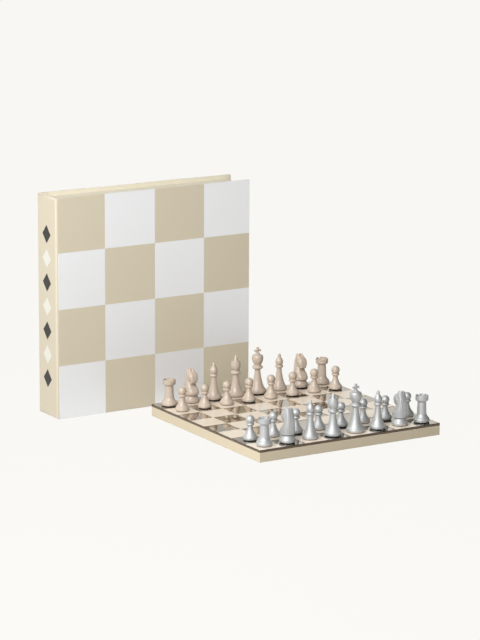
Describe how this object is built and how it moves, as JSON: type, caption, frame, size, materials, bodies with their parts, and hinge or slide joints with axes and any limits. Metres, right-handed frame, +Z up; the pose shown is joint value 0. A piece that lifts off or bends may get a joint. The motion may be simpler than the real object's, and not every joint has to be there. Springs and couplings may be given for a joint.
{
  "type": "chess set with board and book-shaped case",
  "caption": "Square mirror-and-beige chess board set with Staunton-style men, standing before an upright book-shaped box with a checkered cover",
  "frame": {"origin": "Centre of the board's underside, on the surface that the set stands on", "axes": "+X along the board's front edge to the right, +Y from the silver men to the beige men and the case behind them, +Z up"},
  "size_m": [0.411, 0.3907, 0.311],
  "materials": {
    "base_lining": "matt lining paper",
    "board_core": "bare fibreboard",
    "cream_paper": "fine laid cream paper",
    "mirror": "silvered acrylic, smoky edge",
    "square_paint": "satin screen print",
    "greyboard": "bare greyboard",
    "cover_print": "beige print with silver foil squares",
    "spine_paper": "cream book paper",
    "lining_paper": "plain cream paper",
    "magnet_steel": "nickel plated",
    "foam": "flocked foam",
    "silver_men": "satin silver",
    "beige_men": "satin beige"
  },
  "bodies": {
    "board": {"base_lining": "base_lining", "board_core": "board_core", "board_wrap": "cream_paper", "mirror_sheet": "mirror", "beige_squares": "square_paint"},
    "case_cover": {"front_cover_board": "greyboard", "front_cover_wrap": "cover_print", "front_cover_lining": "lining_paper", "front_cover_magnets": "magnet_steel"},
    "case_tray": {"spine_board": "greyboard", "spine_wrap": "spine_paper", "back_cover_board": "greyboard", "back_cover_wrap": "cover_print", "back_cover_lining": "lining_paper", "tray_floor": "lining_paper", "tray_tail_wall": "lining_paper", "tray_head_wall": "lining_paper", "tray_spine_wall": "lining_paper", "tray_fore_wall": "lining_paper", "tray_magnets": "magnet_steel", "insert_base": "greyboard", "foam_insert": "foam"},
    "silver_rook_a": {"silver_rook_a": "silver_men"},
    "silver_knight_b": {"silver_knight_b": "silver_men"},
    "silver_bishop_c": {"silver_bishop_c": "silver_men"},
    "silver_queen_d": {"silver_queen_d": "silver_men"},
    "silver_king_e": {"silver_king_e": "silver_men"},
    "silver_bishop_f": {"silver_bishop_f": "silver_men"},
    "silver_knight_g": {"silver_knight_g": "silver_men"},
    "silver_rook_h": {"silver_rook_h": "silver_men"},
    "silver_pawn_a": {"silver_pawn_a": "silver_men"},
    "silver_pawn_b": {"silver_pawn_b": "silver_men"},
    "silver_pawn_c": {"silver_pawn_c": "silver_men"},
    "silver_pawn_d": {"silver_pawn_d": "silver_men"},
    "silver_pawn_e": {"silver_pawn_e": "silver_men"},
    "silver_pawn_f": {"silver_pawn_f": "silver_men"},
    "silver_pawn_g": {"silver_pawn_g": "silver_men"},
    "silver_pawn_h": {"silver_pawn_h": "silver_men"},
    "beige_rook_a": {"beige_rook_a": "beige_men"},
    "beige_knight_b": {"beige_knight_b": "beige_men"},
    "beige_bishop_c": {"beige_bishop_c": "beige_men"},
    "beige_queen_d": {"beige_queen_d": "beige_men"},
    "beige_king_e": {"beige_king_e": "beige_men"},
    "beige_bishop_f": {"beige_bishop_f": "beige_men"},
    "beige_knight_g": {"beige_knight_g": "beige_men"},
    "beige_rook_h": {"beige_rook_h": "beige_men"},
    "beige_pawn_a": {"beige_pawn_a": "beige_men"},
    "beige_pawn_b": {"beige_pawn_b": "beige_men"},
    "beige_pawn_c": {"beige_pawn_c": "beige_men"},
    "beige_pawn_d": {"beige_pawn_d": "beige_men"},
    "beige_pawn_e": {"beige_pawn_e": "beige_men"},
    "beige_pawn_f": {"beige_pawn_f": "beige_men"},
    "beige_pawn_g": {"beige_pawn_g": "beige_men"},
    "beige_pawn_h": {"beige_pawn_h": "beige_men"}
  },
  "joints": [
    {"name": "case_lift", "type": "slide", "parent": "board", "child": "case_cover", "axis": [0, 0, 1], "range_m": [0, 0.15]},
    {"name": "case_hinge", "type": "hinge", "parent": "case_cover", "child": "case_tray", "pos_m": [-0.26335, 0.1923, 0.1555], "axis": [0, 0, 1], "range_deg": [0, 175]},
    {"name": "silver_rook_a_lift", "type": "slide", "parent": "board", "child": "silver_rook_a", "axis": [0, 0, 1], "range_m": [0, 0.08]},
    {"name": "silver_knight_b_lift", "type": "slide", "parent": "board", "child": "silver_knight_b", "axis": [0, 0, 1], "range_m": [0, 0.08]},
    {"name": "silver_bishop_c_lift", "type": "slide", "parent": "board", "child": "silver_bishop_c", "axis": [0, 0, 1], "range_m": [0, 0.08]},
    {"name": "silver_queen_d_lift", "type": "slide", "parent": "board", "child": "silver_queen_d", "axis": [0, 0, 1], "range_m": [0, 0.08]},
    {"name": "silver_king_e_lift", "type": "slide", "parent": "board", "child": "silver_king_e", "axis": [0, 0, 1], "range_m": [0, 0.08]},
    {"name": "silver_bishop_f_lift", "type": "slide", "parent": "board", "child": "silver_bishop_f", "axis": [0, 0, 1], "range_m": [0, 0.08]},
    {"name": "silver_knight_g_lift", "type": "slide", "parent": "board", "child": "silver_knight_g", "axis": [0, 0, 1], "range_m": [0, 0.08]},
    {"name": "silver_rook_h_lift", "type": "slide", "parent": "board", "child": "silver_rook_h", "axis": [0, 0, 1], "range_m": [0, 0.08]},
    {"name": "silver_pawn_a_lift", "type": "slide", "parent": "board", "child": "silver_pawn_a", "axis": [0, 0, 1], "range_m": [0, 0.08]},
    {"name": "silver_pawn_b_lift", "type": "slide", "parent": "board", "child": "silver_pawn_b", "axis": [0, 0, 1], "range_m": [0, 0.08]},
    {"name": "silver_pawn_c_lift", "type": "slide", "parent": "board", "child": "silver_pawn_c", "axis": [0, 0, 1], "range_m": [0, 0.08]},
    {"name": "silver_pawn_d_lift", "type": "slide", "parent": "board", "child": "silver_pawn_d", "axis": [0, 0, 1], "range_m": [0, 0.08]},
    {"name": "silver_pawn_e_lift", "type": "slide", "parent": "board", "child": "silver_pawn_e", "axis": [0, 0, 1], "range_m": [0, 0.08]},
    {"name": "silver_pawn_f_lift", "type": "slide", "parent": "board", "child": "silver_pawn_f", "axis": [0, 0, 1], "range_m": [0, 0.08]},
    {"name": "silver_pawn_g_lift", "type": "slide", "parent": "board", "child": "silver_pawn_g", "axis": [0, 0, 1], "range_m": [0, 0.08]},
    {"name": "silver_pawn_h_lift", "type": "slide", "parent": "board", "child": "silver_pawn_h", "axis": [0, 0, 1], "range_m": [0, 0.08]},
    {"name": "beige_rook_a_lift", "type": "slide", "parent": "board", "child": "beige_rook_a", "axis": [0, 0, 1], "range_m": [0, 0.08]},
    {"name": "beige_knight_b_lift", "type": "slide", "parent": "board", "child": "beige_knight_b", "axis": [0, 0, 1], "range_m": [0, 0.08]},
    {"name": "beige_bishop_c_lift", "type": "slide", "parent": "board", "child": "beige_bishop_c", "axis": [0, 0, 1], "range_m": [0, 0.08]},
    {"name": "beige_queen_d_lift", "type": "slide", "parent": "board", "child": "beige_queen_d", "axis": [0, 0, 1], "range_m": [0, 0.08]},
    {"name": "beige_king_e_lift", "type": "slide", "parent": "board", "child": "beige_king_e", "axis": [0, 0, 1], "range_m": [0, 0.08]},
    {"name": "beige_bishop_f_lift", "type": "slide", "parent": "board", "child": "beige_bishop_f", "axis": [0, 0, 1], "range_m": [0, 0.08]},
    {"name": "beige_knight_g_lift", "type": "slide", "parent": "board", "child": "beige_knight_g", "axis": [0, 0, 1], "range_m": [0, 0.08]},
    {"name": "beige_rook_h_lift", "type": "slide", "parent": "board", "child": "beige_rook_h", "axis": [0, 0, 1], "range_m": [0, 0.08]},
    {"name": "beige_pawn_a_lift", "type": "slide", "parent": "board", "child": "beige_pawn_a", "axis": [0, 0, 1], "range_m": [0, 0.08]},
    {"name": "beige_pawn_b_lift", "type": "slide", "parent": "board", "child": "beige_pawn_b", "axis": [0, 0, 1], "range_m": [0, 0.08]},
    {"name": "beige_pawn_c_lift", "type": "slide", "parent": "board", "child": "beige_pawn_c", "axis": [0, 0, 1], "range_m": [0, 0.08]},
    {"name": "beige_pawn_d_lift", "type": "slide", "parent": "board", "child": "beige_pawn_d", "axis": [0, 0, 1], "range_m": [0, 0.08]},
    {"name": "beige_pawn_e_lift", "type": "slide", "parent": "board", "child": "beige_pawn_e", "axis": [0, 0, 1], "range_m": [0, 0.08]},
    {"name": "beige_pawn_f_lift", "type": "slide", "parent": "board", "child": "beige_pawn_f", "axis": [0, 0, 1], "range_m": [0, 0.08]},
    {"name": "beige_pawn_g_lift", "type": "slide", "parent": "board", "child": "beige_pawn_g", "axis": [0, 0, 1], "range_m": [0, 0.08]},
    {"name": "beige_pawn_h_lift", "type": "slide", "parent": "board", "child": "beige_pawn_h", "axis": [0, 0, 1], "range_m": [0, 0.08]}
  ]
}
